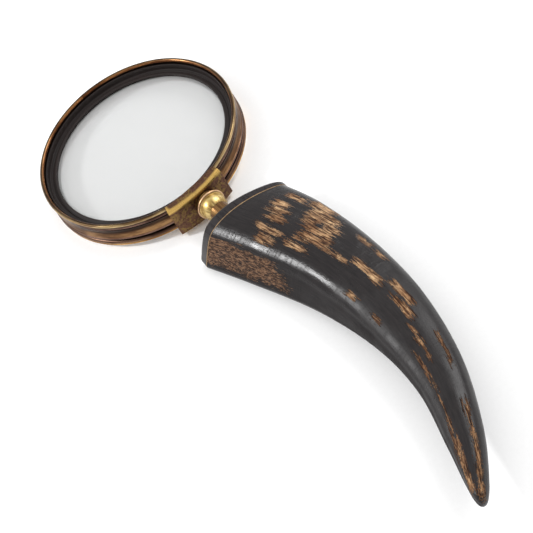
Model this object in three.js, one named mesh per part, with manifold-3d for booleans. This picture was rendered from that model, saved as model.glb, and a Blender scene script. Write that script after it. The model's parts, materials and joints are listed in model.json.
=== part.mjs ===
// Hand magnifier: a glass lens in a moulded brass frame, a saddle soldered to the frame's
// rim, and a curved horn handle that turns on a stud through a ball collar.
// Units are millimetres. The model is drawn about the lens centre, with +X through the
// collar towards the handle's tip and +Z along the lens axis, then laid down to rest.
import * as THREE from 'three';
import { mergeVertices } from 'three/addons/utils/BufferGeometryUtils.js';
import Module from 'manifold-3d';

const wasm = await Module();
wasm.setup();

// Fits and mesh steps
const GAP = 0.3;
const RING_STEPS = 60;
const ROUND_STEPS = 28;

// Lens: biconvex, about 4 dioptres
const LENS_R = 46;
const LENS_EDGE = 1.6;
const LENS_SAG = 3.6;

// Brass frame rings
const RIM_INNER_R = 48.8;
const RIM_OUTER_R = 50.8;
const RIM_FOOT_R = 50.5;
const RIM_HALF_HEIGHT = 7.5;
const COVE_R = 49.5;
const FRONT_SPLIT_Z = 3.2;
const BACK_SPLIT_Z = -3.4;
const SPLIT_GAP = 0.25;

// Black lens mount inside the brass
const APERTURE_R = 43.7;
const MOUNT_OUTER_R = RIM_INNER_R - GAP;
const RETAINER_TOP_Z = 2.9;
const RETAINER_WALL_TOP_Z = 5.3;
const SEAT_BOTTOM_Z = -6.9;
const SEAT_LEDGE_Z = -2.2;

// Saddle on the frame's rim
const SADDLE_INNER_R = RIM_OUTER_R + GAP;
const SADDLE_OUTER_R = 54.6;
const SADDLE_HALF_HEIGHT = 8.5;
const SADDLE_LIP = 0.7;
const SADDLE_NEAR_DEG = 18.8;
const SADDLE_FAR_DEG = 13.8;
const LIP_EDGE_X = 49.2;
const LIP_EDGE_R = 88;

// Swivel, along X
const SHANK_R = 2;
const HOLE_R = SHANK_R + GAP;
const HEAD_R = 4.6;
const HEAD_X = 51.2;
const HEAD_THICK = 1.5;
const WASHER_X = 54.9;
const WASHER_R = 5.8;
const WASHER_THICK = 0.7;
const SPRING_R = 5.2;
const SPRING_THICK = 0.5;
const SPRING_DISH = 0.5;
const COLLAR_X = 57.2;
const FLANGE_R = 7.25;
const FLANGE_THICK = 1.3;
const BALL_R = 6.3;
const BALL_X = 60.2;
const COLLAR_LENGTH = 7;
const NECK_R = 4.9;
const NECK_WAIST_R = 4.6;
const NECK_FLARE_R = 5.6;
const STUD_END_X = 103;

// Horn handle: two plan curves, near side and far side, and a thickness along them
const HORN_NEAR = [
  [77.2, -21.8], [101.5, -14.8], [136, -6.5], [172, -3.8],
  [205, -6.8], [232, -16.2], [248, -22.4], [258, -25.7],
];
const HORN_FAR = [
  [83.2, 27.5], [103.5, 30.7], [136, 31.1], [172, 26.6],
  [207, 15.4], [236, -1], [254.5, -16.2], [260.2, -23.2],
];
const HORN_HALF_THICK = [11.3, 10.9, 10, 8.7, 7.4, 6.2, 5, 4];
const HORN_NOSE = 0.93;

// Section at the thick end, as fractions of the half width and half thickness: from the far
// edge over the crowned top and its shoulder, down the slanted near side and back underneath
const HORN_SECTION = [
  [1, 0.06], [0.93, 0.4], [0.69, 0.68], [0.31, 0.92],
  [-0.06, 1], [-0.36, 0.91], [-0.57, 0.72], [-0.7, 0.46],
  [-0.82, 0.08], [-0.94, -0.38], [-1, -0.7], [-0.88, -0.93],
  [-0.5, -0.98], [0.1, -0.98], [0.65, -0.78], [0.93, -0.36],
];
const OVAL_SQUARENESS = 2.3;
const SECTION_UNTIL = 0.22;
const OVAL_FROM = 0.62;
const HORN_AROUND = 48;
const HORN_STATIONS = 30;
const WALL_FRACTION = 0.72;
const CORE_FIT = 0.03;
const CORE_DEPTH = 0.24;
const PLATE_THICK = 4.8;
const PLATE_WEDGE = 0.33;
const PLATE_ROUND = 1.8;
const PLATE_HOLE_R = 3.2;
const LINER_THICK = 0.5;
const LINER_GAP = 0.1;
const INSERT_X = 88;
const INSERT_R = 4;
const INSERT_LENGTH = 14;

// ---- materials ----

function finish(color, roughness, metalness, opacity = 1) {
  const transparent = opacity < 1;
  return new THREE.MeshStandardMaterial({ color, roughness, metalness, opacity, transparent });
}

const AGED_BRASS = finish(0x8a6238, 0.42, 1);
const COPPER_BRASS = finish(0xb0783c, 0.35, 1);
const BRIGHT_BRASS = finish(0xd8b354, 0.22, 1);
const BLACK_LACQUER = finish(0x151314, 0.6, 0);
const CLEAR_GLASS = finish(0xe8eeee, 0.03, 0, 0.3);
const GREY_PAPER = finish(0x6a6258, 0.9, 0);
const STEEL = finish(0x85878a, 0.35, 1);
const BLACK_HORN = finish(0x2b2727, 0.35, 0);
const TAN_HORN = finish(0xa98a66, 0.6, 0);
const TURNED_WOOD = finish(0x8c6a45, 0.7, 0);

// ---- solids and meshes ----

// Joins a geometry's shared corners so that it can be cut.
function solidOf(geometry) {
  const bare = geometry.clone();
  bare.deleteAttribute('normal');
  bare.deleteAttribute('uv');
  const merged = mergeVertices(bare, 1e-4);
  return new wasm.Manifold(new wasm.Mesh({
    numProp: 3,
    vertProperties: new Float32Array(merged.attributes.position.array),
    triVerts: new Uint32Array(merged.index.array),
  }));
}

function geometryOf(solid) {
  const mesh = solid.getMesh();
  const geometry = new THREE.BufferGeometry();
  geometry.setAttribute('position', new THREE.BufferAttribute(mesh.vertProperties, 3));
  geometry.setIndex(new THREE.BufferAttribute(mesh.triVerts, 1));
  geometry.computeVertexNormals();
  return geometry;
}

function cut(geometry, ...tools) {
  let solid = solidOf(geometry);
  for (const tool of tools) {
    solid = solid.subtract(solidOf(tool));
  }
  return geometryOf(solid);
}

function piece(name, geometry, material) {
  const mesh = new THREE.Mesh(geometry, material);
  mesh.name = name;
  return mesh;
}

// ---- turned shapes ----

// A turned shape about Z from an outline of [radius, height] points.
function latheZ(outline) {
  const points = outline.map(([radius, z]) => new THREE.Vector2(radius, z));
  return new THREE.LatheGeometry(points, RING_STEPS).rotateX(Math.PI / 2);
}

// A turned shape about X from an outline of [x, radius] points.
function latheX(outline) {
  const points = outline.map(([x, radius]) => new THREE.Vector2(radius, x));
  return new THREE.LatheGeometry(points, ROUND_STEPS).rotateZ(-Math.PI / 2);
}

// Rings, whose outline closes on itself.
const ringAboutZ = (outline) => latheZ([...outline, outline[0]]);
const ringAboutX = (outline) => latheX([...outline, outline[0]]);

// Points of an arc in an outline, from angle a to angle b in degrees.
function arc(centreA, centreB, radius, a, b, steps) {
  return Array.from({ length: steps + 1 }, (_, i) => {
    const angle = THREE.MathUtils.degToRad(a + (b - a) * i / steps);
    return [centreA + radius * Math.cos(angle), centreB + radius * Math.sin(angle)];
  });
}

// A rod along X between two x values.
function rodAlongX(radius, fromX, toX, steps = ROUND_STEPS) {
  const rod = new THREE.CylinderGeometry(radius, radius, toX - fromX, steps);
  return rod.rotateZ(Math.PI / 2).translate((fromX + toX) / 2, 0, 0);
}

// ---- lens and its mount ----

const lensSurfaceZ = (radius) => LENS_EDGE / 2 + LENS_SAG * (1 - (radius / LENS_R) ** 2);

function lens() {
  const steps = 7;
  const face = Array.from({ length: steps + 1 }, (_, i) => {
    const radius = LENS_R * i / steps;
    return [radius, lensSurfaceZ(radius)];
  });
  const back = face.map(([radius, z]) => [radius, -z]);
  const outline = [...back, ...face.reverse()];
  return piece('lens', latheZ(outline), CLEAR_GLASS);
}

// Screws down on the lens: a tall rounded lip at the aperture and a wall behind the bezel.
function lensRetainer() {
  const bottom = lensSurfaceZ(APERTURE_R) + GAP;
  const edge = LENS_EDGE / 2 + GAP;
  const outline = [
    [APERTURE_R, bottom],
    [LENS_R, edge],
    [MOUNT_OUTER_R, edge],
    [MOUNT_OUTER_R, RETAINER_WALL_TOP_Z],
    [MOUNT_OUTER_R - 0.7, RETAINER_WALL_TOP_Z],
    [MOUNT_OUTER_R - 1.1, RETAINER_TOP_Z - 0.3],
    [APERTURE_R + 1.2, RETAINER_TOP_Z - 0.3],
    [APERTURE_R + 0.8, RETAINER_TOP_Z],
    [APERTURE_R + 0.2, RETAINER_TOP_Z],
    [APERTURE_R, RETAINER_TOP_Z - 0.3],
  ];
  return piece('lens_retainer', ringAboutZ(outline), BLACK_LACQUER);
}

// Sleeve behind the lens, with the ledge that carries it.
function lensSeat() {
  const outline = [
    [MOUNT_OUTER_R, SEAT_BOTTOM_Z],
    [MOUNT_OUTER_R, LENS_EDGE / 2],
    [LENS_R + GAP, LENS_EDGE / 2],
    [LENS_R + GAP, SEAT_LEDGE_Z],
    [APERTURE_R, SEAT_LEDGE_Z],
    [APERTURE_R, SEAT_LEDGE_Z - 1.4],
    [MOUNT_OUTER_R - 1.1, SEAT_LEDGE_Z - 2.2],
    [MOUNT_OUTER_R - 0.8, SEAT_BOTTOM_Z],
  ];
  return piece('lens_seat', ringAboutZ(outline), BLACK_LACQUER);
}

// Soft packing between the ledge and the lens.
function lensGasket() {
  const innerR = LENS_R - 2;
  const outline = [
    [innerR, SEAT_LEDGE_Z + 0.1],
    [LENS_R, SEAT_LEDGE_Z + 0.1],
    [LENS_R, -LENS_EDGE / 2 - 0.1],
    [innerR, -lensSurfaceZ(innerR) - 0.15],
  ];
  return piece('lens_gasket', ringAboutZ(outline), GREY_PAPER);
}

// ---- brass frame: two bezels with rolled beads and a hollow-sided band between ----

function frontBezel() {
  const beadR = 0.95;
  const outline = [
    [RIM_INNER_R, FRONT_SPLIT_Z],
    [COVE_R + 0.2, FRONT_SPLIT_Z],
    ...arc(COVE_R - 0.1, 4.2, 0.75, -60, 60, 3),
    [COVE_R - 0.25, 5.2],
    ...arc(RIM_INNER_R + beadR, RIM_HALF_HEIGHT - beadR, beadR, -30, 180, 6),
  ];
  return piece('front_bezel', ringAboutZ(outline), COPPER_BRASS);
}

function frameBand() {
  const outline = [
    [RIM_INNER_R, BACK_SPLIT_Z + SPLIT_GAP],
    [RIM_OUTER_R - 0.7, BACK_SPLIT_Z + SPLIT_GAP],
    [RIM_OUTER_R - 0.2, BACK_SPLIT_Z + 0.6],
    [RIM_OUTER_R - 0.3, BACK_SPLIT_Z + 1.3],
    [COVE_R + 0.5, -0.9],
    [COVE_R, 0.6],
    [COVE_R, 1.8],
    [COVE_R + 0.3, FRONT_SPLIT_Z - SPLIT_GAP],
    [RIM_INNER_R, FRONT_SPLIT_Z - SPLIT_GAP],
  ];
  return piece('frame_band', ringAboutZ(outline), AGED_BRASS);
}

function backBezel() {
  const outline = [
    [RIM_INNER_R, -RIM_HALF_HEIGHT],
    [RIM_FOOT_R, -RIM_HALF_HEIGHT],
    [RIM_FOOT_R + 0.1, -RIM_HALF_HEIGHT + 0.5],
    ...arc(RIM_OUTER_R - 1, -5.6, 1, -60, 60, 4),
    [COVE_R, -4.4],
    [COVE_R, BACK_SPLIT_Z],
    [RIM_INNER_R, BACK_SPLIT_Z],
  ];
  return piece('back_bezel', ringAboutZ(outline), COPPER_BRASS);
}

// ---- saddle ----

// Ring sector seen from above, between two radii and the saddle's two end angles.
function sectorShape(innerR, outerR) {
  const from = THREE.MathUtils.degToRad(-SADDLE_NEAR_DEG);
  const to = THREE.MathUtils.degToRad(SADDLE_FAR_DEG);
  const shape = new THREE.Shape();
  shape.absarc(0, 0, outerR, from, to, false);
  shape.absarc(0, 0, innerR, to, from, true);
  return shape;
}

function discAboutZ(radius, height) {
  return new THREE.CylinderGeometry(radius, radius, height, 2 * RING_STEPS).rotateX(Math.PI / 2);
}

function saddleBracket() {
  const height = 2 * SADDLE_HALF_HEIGHT;
  const sector = sectorShape(RIM_INNER_R - 2, SADDLE_OUTER_R);
  const settings = { depth: height, bevelEnabled: false, curveSegments: 10 };
  const block = new THREE.ExtrudeGeometry(sector, settings).translate(0, 0, -height / 2);
  const rimSpace = discAboutZ(SADDLE_INNER_R, height - 2 * SADDLE_LIP);
  const openSpace = discAboutZ(LIP_EDGE_R, 2 * height).translate(LIP_EDGE_X - LIP_EDGE_R, 0, 0);
  const headPocket = rodAlongX(HEAD_R + GAP, SADDLE_INNER_R - 4, HEAD_X + HEAD_THICK + GAP);
  const studHole = rodAlongX(HOLE_R, SADDLE_INNER_R - 4, SADDLE_OUTER_R + 4);
  const geometry = cut(block, rimSpace, openSpace, headPocket, studHole);
  return piece('saddle_bracket', geometry, AGED_BRASS);
}

// ---- swivel ----

function swivelStud() {
  const outline = [
    [HEAD_X, 0],
    [HEAD_X, HEAD_R],
    [HEAD_X + HEAD_THICK, HEAD_R],
    [HEAD_X + HEAD_THICK, SHANK_R],
    [STUD_END_X - 1, SHANK_R],
    [STUD_END_X, SHANK_R - 1],
    [STUD_END_X, 0],
  ];
  return piece('swivel_stud', latheX(outline), STEEL);
}

function thrustWasher() {
  const outline = [
    [WASHER_X, HOLE_R],
    [WASHER_X, WASHER_R],
    [WASHER_X + WASHER_THICK, WASHER_R],
    [WASHER_X + WASHER_THICK, HOLE_R],
  ];
  return piece('thrust_washer', ringAboutX(outline), AGED_BRASS);
}

// Dished spring washer that gives the swivel its drag.
function springWasher() {
  const x = WASHER_X + WASHER_THICK + 0.15;
  const outline = [
    [x + SPRING_DISH, HOLE_R],
    [x, SPRING_R],
    [x + SPRING_THICK, SPRING_R],
    [x + SPRING_DISH + SPRING_THICK, HOLE_R],
  ];
  return piece('spring_washer', ringAboutX(outline), STEEL);
}

function ballCollar() {
  const angleAt = (x) => THREE.MathUtils.radToDeg(Math.acos((x - BALL_X) / BALL_R));
  const flangeEnd = COLLAR_X + FLANGE_THICK;
  const collarEnd = COLLAR_X + COLLAR_LENGTH;
  const outline = [
    [COLLAR_X, HOLE_R],
    [COLLAR_X, FLANGE_R - 0.5],
    [COLLAR_X + 0.35, FLANGE_R],
    [flangeEnd - 0.35, FLANGE_R],
    [flangeEnd, FLANGE_R - 0.5],
    ...arc(BALL_X, 0, BALL_R, angleAt(flangeEnd + 0.2), angleAt(collarEnd), 9),
    [collarEnd, HOLE_R],
  ];
  return piece('ball_collar', ringAboutX(outline), BRIGHT_BRASS);
}

// ---- horn ----

const curveOf = (points) => new THREE.SplineCurve(points.map(([x, y]) => new THREE.Vector2(x, y)));
const nearCurve = curveOf(HORN_NEAR);
const farCurve = curveOf(HORN_FAR);
const thickCurve = new THREE.SplineCurve(HORN_HALF_THICK.map((half, i) => new THREE.Vector2(i, half)));

// The joint plane at the handle's base, which the liner and the end plate stack on.
const baseNear = new THREE.Vector2(...HORN_NEAR[0]);
const baseFar = new THREE.Vector2(...HORN_FAR[0]);
const baseAcross = baseFar.clone().sub(baseNear).normalize();
const baseOutward = new THREE.Vector2(-baseAcross.y, baseAcross.x);
const baseMiddle = baseNear.clone().add(baseFar).multiplyScalar(0.5);
const baseWidth = baseNear.distanceTo(baseFar);

// Closed section curve at a share of the way from the thick end's section to an oval.
function sectionCurve(share) {
  const corners = HORN_SECTION.map(([across, up]) => {
    const length = Math.hypot(across, up);
    const power = OVAL_SQUARENESS;
    const reach = (Math.abs(across / length) ** power + Math.abs(up / length) ** power) ** (-1 / power);
    const corner = new THREE.Vector3(across, up, 0);
    return corner.lerp(new THREE.Vector3(across, up, 0).setLength(reach), share);
  });
  return new THREE.CatmullRomCurve3(corners, true, 'catmullrom');
}

// Place on the section, as fractions across and up, at a turn from 0 to 1 round it.
function sectionPoint(station, turn) {
  const share = THREE.MathUtils.smoothstep(station, SECTION_UNTIL, OVAL_FROM);
  return sectionCurve(share).getPoint(((turn % 1) + 1) % 1);
}

// Rounded nose: the section shrinks to nothing over the last stretch of the horn.
function noseScale(along) {
  const past = Math.max(0, (along - HORN_NOSE) / (1 - HORN_NOSE));
  return Math.sqrt(Math.max(0, 1 - past ** 2));
}

// Place of a point in the horn: along from 0 at the joint plane to 1 at the tip, share
// from 0 at the middle to 1 at the skin, turn from 0 to 1 round the section. Negative along
// is millimetres out of the base.
function hornPoint(along, share, turn) {
  const station = THREE.MathUtils.clamp(along, 0, 1);
  const near = nearCurve.getPoint(station);
  const far = farCurve.getPoint(station);
  const middle = near.clone().add(far).multiplyScalar(0.5);
  const across = far.clone().sub(near).normalize();
  const scale = share * noseScale(station);
  const halfWidth = near.distanceTo(far) / 2 * scale;
  const halfThick = thickCurve.getPoint(station).y * scale;
  const section = sectionPoint(station, turn);
  const plan = middle.addScaledVector(across, section.x * halfWidth);
  plan.addScaledVector(baseOutward, Math.max(0, -along));
  return new THREE.Vector3(plan.x, plan.y, section.y * halfThick);
}

// Bends a turned blank into the horn's shape. The blank's outline holds [share, along]
// points and starts and ends on the middle line.
function hornBlank(outline, around = HORN_AROUND) {
  const points = outline.map(([share, along]) => new THREE.Vector2(share, along));
  const blank = new THREE.LatheGeometry(points, around);
  const place = blank.attributes.position;
  for (let i = 0; i < place.count; i += 1) {
    const share = Math.hypot(place.getX(i), place.getZ(i));
    const turn = Math.atan2(place.getX(i), place.getZ(i)) / (2 * Math.PI);
    place.setXYZ(i, ...hornPoint(place.getY(i), share, turn));
  }
  return blank;
}

function stations(from, to, count) {
  return Array.from({ length: count + 1 }, (_, i) => from + (to - from) * i / count);
}

// Outline of the whole horn: closer stations round the nose.
function hornOutline() {
  const body = stations(0, HORN_NOSE, HORN_STATIONS).map((along) => [1, along]);
  const nose = [18, 36, 54, 72].map((turn) => {
    const past = Math.sin(THREE.MathUtils.degToRad(turn));
    return [1, HORN_NOSE + (1 - HORN_NOSE) * past];
  });
  return [[0, 0], ...body, ...nose, [0, 1]];
}

// The hollow is cut a little way out past the joint plane, so that it opens there.
function horn() {
  const wall = stations(0, CORE_DEPTH, 6).map((along) => [WALL_FRACTION, along]);
  const hollow = hornBlank([[0, -2], [WALL_FRACTION, -2], ...wall, [0, CORE_DEPTH]]);
  return piece('horn', cut(hornBlank(hornOutline()), hollow), BLACK_HORN);
}

// Turned plug that fills the horn's natural hollow and takes the insert.
function corePlug() {
  const share = WALL_FRACTION - CORE_FIT;
  const from = 0.002;
  const to = CORE_DEPTH - 0.004;
  const side = stations(from, to, 6).map((along) => [share, along]);
  const outline = [[0, from], ...side, [0, to]];
  const bore = rodAlongX(INSERT_R + GAP, INSERT_X - GAP, INSERT_X + INSERT_LENGTH + GAP);
  const studHole = rodAlongX(HOLE_R, HORN_NEAR[0][0] - 10, STUD_END_X + 1);
  return piece('core_plug', cut(hornBlank(outline), bore, studHole), TURNED_WOOD);
}

function threadedInsert() {
  const insert = rodAlongX(INSERT_R, INSERT_X, INSERT_X + INSERT_LENGTH, 12);
  const bore = rodAlongX(SHANK_R + 0.05, INSERT_X - 1, INSERT_X + INSERT_LENGTH + 1);
  return piece('threaded_insert', cut(insert, bore), AGED_BRASS);
}

// A flat piece of the base section with a hole for the stud, between two distances out of
// the joint plane. Its outer edge is rounded when round is more than nothing, and wedge is
// how much thicker it is on the near side, and thinner on the far side, as a fraction.
function baseSlab(from, to, round = 0, wedge = 0) {
  const inward = round / HORN_HALF_THICK[0];
  const edge = [0, 30, 60].map((degrees) => {
    const turn = THREE.MathUtils.degToRad(degrees);
    return [1 - inward * (1 - Math.sin(turn)), to - round * (1 - Math.cos(turn))];
  });
  const rounded = round > 0 ? edge : [];
  const outline = [[0, to], ...rounded, [1, to - round], [1, from], [0, from], [0, to]];
  const points = outline.map(([share, out]) => new THREE.Vector2(1 + share, -out));
  const slab = new THREE.LatheGeometry(points, HORN_AROUND);
  const place = slab.attributes.position;
  for (let i = 0; i < place.count; i += 1) {
    const share = Math.hypot(place.getX(i), place.getZ(i)) - 1;
    const angle = Math.atan2(place.getX(i), place.getZ(i));
    const skin = hornPoint(0, 1, angle / (2 * Math.PI));
    const holeY = PLATE_HOLE_R * Math.cos(angle);
    const holeX = baseNear.x + (holeY - baseNear.y) * baseAcross.x / baseAcross.y;
    const point = new THREE.Vector3(holeX, holeY, PLATE_HOLE_R * Math.sin(angle)).lerp(skin, share);
    const across = (point.y - baseMiddle.y) / (baseWidth / 2);
    const out = from + (-place.getY(i) - from) * (1 - wedge * across);
    place.setXYZ(i, point.x + baseOutward.x * out, point.y + baseOutward.y * out, point.z);
  }
  return slab;
}

function endLiner() {
  return piece('end_liner', baseSlab(LINER_GAP, LINER_THICK), TAN_HORN);
}

function endPlate() {
  const from = LINER_THICK + LINER_GAP;
  const slab = baseSlab(from, from + PLATE_THICK, PLATE_ROUND, PLATE_WEDGE);
  return piece('end_plate', slab, BLACK_HORN);
}

// Neck tube between the ball and the end plate, cut off along the plate's face.
function neckFerrule() {
  const fromX = COLLAR_X + COLLAR_LENGTH + GAP;
  const toX = 80;
  const outline = [
    [fromX, HOLE_R],
    [fromX, NECK_R],
    [fromX + 3, NECK_WAIST_R],
    [fromX + 6, NECK_WAIST_R + 0.1],
    [fromX + 9, NECK_FLARE_R],
    [toX, NECK_FLARE_R],
    [toX, HOLE_R],
  ];
  const faceOut = LINER_THICK + LINER_GAP + PLATE_THICK + LINER_GAP;
  const face = baseMiddle.clone().addScaledVector(baseOutward, faceOut);
  const slant = Math.atan(2 * PLATE_THICK * PLATE_WEDGE / baseWidth);
  const beyond = new THREE.BoxGeometry(40, 80, 40).translate(20, 0, 0);
  beyond.rotateZ(Math.atan2(baseOutward.y, baseOutward.x) + Math.PI - slant);
  beyond.translate(face.x, face.y, 0);
  return piece('neck_ferrule', cut(ringAboutX(outline), beyond), AGED_BRASS);
}

// ---- assembly ----

const lensFrame = new THREE.Group();
lensFrame.add(lens(), lensRetainer(), lensSeat(), lensGasket());
lensFrame.add(frontBezel(), frameBand(), backBezel(), saddleBracket());

const handle = new THREE.Group();
handle.add(swivelStud(), thrustWasher(), springWasher(), ballCollar(), neckFerrule());
handle.add(endPlate(), endLiner(), horn(), corePlug(), threadedInsert());

// Angle of the steepest line from the frame's far foot down to a piece.
function dip(mesh) {
  const place = mesh.geometry.attributes.position;
  const angles = Array.from({ length: place.count }, (_, i) => {
    return Math.atan2(-place.getZ(i) - RIM_HALF_HEIGHT, place.getX(i) + RIM_FOOT_R);
  });
  return Math.max(...angles);
}

// At rest the frame's far foot and the thick end of the handle touch the table
const laidDown = new THREE.Group();
laidDown.rotation.y = -Math.max(...handle.children.map(dip));
laidDown.add(lensFrame, handle);

// Origin on the table under the middle of the object's box
const magnifier = new THREE.Group();
magnifier.add(laidDown);
magnifier.updateMatrixWorld(true);
const box = new THREE.Box3().setFromObject(magnifier, true);
laidDown.position.set(-(box.min.x + box.max.x) / 2, -(box.min.y + box.max.y) / 2, -box.min.z);

export default magnifier;
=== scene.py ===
"""Looks of a hand magnifier with a horn handle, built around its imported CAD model.

Pieces are drawn in millimetres about the lens centre, with +X through the collar towards the
horn's tip and +Z along the lens axis. lay_down() turns them into the row frame, in metres.
Each vertex keeps where it was drawn in the attribute "drawn", which the materials read.
"""
import json
import math

import bmesh
import bpy
import numpy as np
from mathutils import Matrix, Vector, noise


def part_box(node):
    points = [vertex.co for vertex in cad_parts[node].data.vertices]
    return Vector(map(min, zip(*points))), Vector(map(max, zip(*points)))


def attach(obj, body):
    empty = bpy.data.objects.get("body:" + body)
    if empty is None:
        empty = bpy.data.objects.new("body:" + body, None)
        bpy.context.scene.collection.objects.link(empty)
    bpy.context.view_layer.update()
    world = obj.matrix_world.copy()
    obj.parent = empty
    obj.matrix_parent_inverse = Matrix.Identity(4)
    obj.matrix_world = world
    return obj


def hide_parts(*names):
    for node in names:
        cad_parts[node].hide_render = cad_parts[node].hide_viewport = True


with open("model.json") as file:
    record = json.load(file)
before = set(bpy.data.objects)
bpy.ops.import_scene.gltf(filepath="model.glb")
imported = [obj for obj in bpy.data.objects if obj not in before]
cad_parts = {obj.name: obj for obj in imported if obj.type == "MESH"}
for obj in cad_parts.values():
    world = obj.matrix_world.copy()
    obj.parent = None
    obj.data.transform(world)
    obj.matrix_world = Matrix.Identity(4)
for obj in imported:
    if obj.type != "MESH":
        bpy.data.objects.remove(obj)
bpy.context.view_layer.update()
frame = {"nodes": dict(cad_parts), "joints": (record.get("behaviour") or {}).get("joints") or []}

SCENE = bpy.context.scene
MM = 0.001

# ---- camera, in the drawn frame, in millimetres and degrees ----

CAMERA_PLACE = (508.6, -103.7, 469.6)
CAMERA_AIM = (107.1, -6.2, 0)
CAMERA_ROLL_DEG = -33
CAMERA_LENS = 98.67

# ---- dimensions, in millimetres ----

# Lens and its black mount
LENS_R = 46
LENS_EDGE = 1.6
LENS_SAG = 3.6
LENS_RINGS = 28
LENS_STEPS = 240
APERTURE_R = 43.7
LEDGE_R = 43.1
MOUNT_OUTER_R = 48.5

# Brass rings
RIM_INNER_R = 48.8
RIM_OUTER_R = 50.8
RIM_TOP = 7.5
COVE_R = 49.5
RING_STEPS = 288
TURNED_STEPS = 160

# Saddle
SADDLE_INNER_R = 51.1
SADDLE_OUTER_R = 54.6
SADDLE_TOP = 8.5
SADDLE_LIP = 0.7
SADDLE_FROM_DEG = -18.8
SADDLE_TO_DEG = 13.8
SADDLE_STEPS = 70
SADDLE_BEVEL = 0.35
LIP_EDGE_X = 49.2
LIP_EDGE_R = 88

# Swivel, along X
HOLE_R = 2.3
HEAD_ROOM_R = 4.9
HEAD_ROOM_X = 53
BORE_FROM_X = 40
BORE_TO_X = 60
BORE_STEPS = 64
COLLAR_X = 57.2
FLANGE_R = 7.25
BALL_X = 60.2
BALL_R = 6.3
COLLAR_END = 64.2
NECK_START = 64.3
NECK_STEPS = 128

# Horn: plan curves of its near and far sides, and half its thickness along them
HORN_NEAR = (
    (77.2, -21.8), (101.5, -14.8), (136, -6.5), (172, -3.8),
    (205, -6.8), (232, -16.2), (248, -22.4), (258, -25.7),
)
HORN_FAR = (
    (83.2, 27.5), (103.5, 30.7), (136, 31.1), (172, 26.6),
    (207, 15.4), (236, -1), (254.5, -16.2), (260.2, -23.2),
)
HORN_HALF_THICK = (11.3, 10.9, 10, 8.7, 7.4, 6.2, 5, 4)

# Section at the thick end, as fractions of the half width and half thickness: from the far
# edge over the crowned top and its shoulder, down the slanted near side and back underneath
HORN_SECTION = (
    (1, 0.06), (0.93, 0.4), (0.69, 0.68), (0.31, 0.92),
    (-0.06, 1), (-0.36, 0.91), (-0.57, 0.72), (-0.7, 0.46),
    (-0.82, 0.08), (-0.94, -0.38), (-1, -0.7), (-0.88, -0.93),
    (-0.5, -0.98), (0.1, -0.98), (0.65, -0.78), (0.93, -0.36),
)

# Corners, counted along the section, between which the near side's rough patch lies
SHOULDER_CORNER = 6.4
NEAR_EDGE_CORNER = 9.15

# The section is kept up to one place along the horn, and is an oval from the other
OVAL_SQUARENESS = 2.3
SECTION_UNTIL = 0.22
OVAL_FROM = 0.62

# Tip, and the hollow in the thick end: its wall, its end along the horn and its steps
HORN_NOSE = 0.93
NOSE_STEPS = 28
WALL_SHARE = 0.72
HOLLOW_END = 0.24
HOLLOW_ALONG = 12
HORN_STATIONS = 420
HORN_AROUND = 256

# End plate and the pale line under it, out from the joint
PLATE_FROM = 0.6
PLATE_THICK = 4.8
PLATE_WEDGE = 0.33
PLATE_ROUND = 1.8
PLATE_HOLE_R = 3.2
LINER_FROM = 0.1
LINER_THICK = 0.4
LINER_ROUND = 0.1

# Where the black skin has worn through on top. Each row holds the patch's start and end along
# the horn in millimetres, its place across it from -1 (near side) to 1 (far side), and its
# half width in millimetres.
WORN_PATCHES = (
    # across the top, near the joint
    (11, 20, 0.76, 1.6), (10, 18, 0.46, 1.9), (13, 21, 0.3, 1.8), (16, 24, 0.13, 1.8),
    # down to the shoulder
    (17, 29, -0.14, 1.4), (21, 28, -0.35, 1.8), (34, 44, -0.22, 1.3), (36, 42, -0.03, 0.7),
    # the largest patch, with a black gap in it
    (24, 36, 0.84, 2.4), (28, 44, 0.68, 2.4), (30, 37, 0.47, 2.6),
    (41, 48, 0.5, 2), (34, 49, 0.31, 2), (36, 50, 0.13, 1.8),
    # its tail and what lies past it
    (49, 63, 0.08, 0.9), (66, 82, 0.25, 1.6), (57, 63, 0.8, 0.9), (68, 72, 0.8, 0.7),
    (86, 100, 0.5, 1.2), (92, 104, 0.25, 1.5), (75, 79, -0.45, 1), (92, 94, -0.5, 0.5),
    # thin lines towards the tip
    (108, 118, 0.05, 0.4), (114, 124, 0, 0.6), (118, 145, -0.35, 0.15), (130, 165, -0.4, 0.15),
    (118, 132, 0.6, 0.3), (160, 184, -0.45, 0.9), (150, 186, 0.55, 0.6),
)
END_FRAY = 0.3
OUT_OF_REACH = 20.0

# Rough patch on the near side. It ends further along low down, by its slant.
HORN_GIRTH = 90
SIDE_PATCH_LENGTH = 34
SIDE_PATCH_FALL = 0.04
SIDE_PATCH_SLANT = 0.7
SIDE_PATCH_HEIGHT = 12
SIDE_END_FRAY = 0.35

# How deep the worn skin is sunk, how unevenly, and the corners between which the side is matt
HORN_SINK = 0.22
SINK_UNEVENNESS = 0.7
SINK_GRAIN = (0.35, 1.4, 1.4)
MATT_FROM_CORNERS = (6.8, 7.5)
MATT_TO_CORNERS = (9.3, 9.9)


# ---- stage ----

FLOOR_HALF = 3
WORLD_STRENGTH = 0.85
LAMP_DISTANCE = 1.1

# Azimuth and elevation in degrees, size in metres and power in watts
KEY_LAMP = (-127, 42, 0.13, 6.5)
BACK_LAMP = (97, 44, 0.5, 6)


# ---- placing and meshes ----

def lay_down():
    """Matrix from the drawn frame, in metres, to the row frame."""
    low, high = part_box("lens")
    axis = frame["joints"][0]["axis"]
    tilt = math.atan2(axis[2], axis[0])
    return Matrix.Translation((low + high) / 2) @ Matrix.Rotation(-tilt, 4, "Y")


RING_TO_ROW = lay_down()


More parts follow.
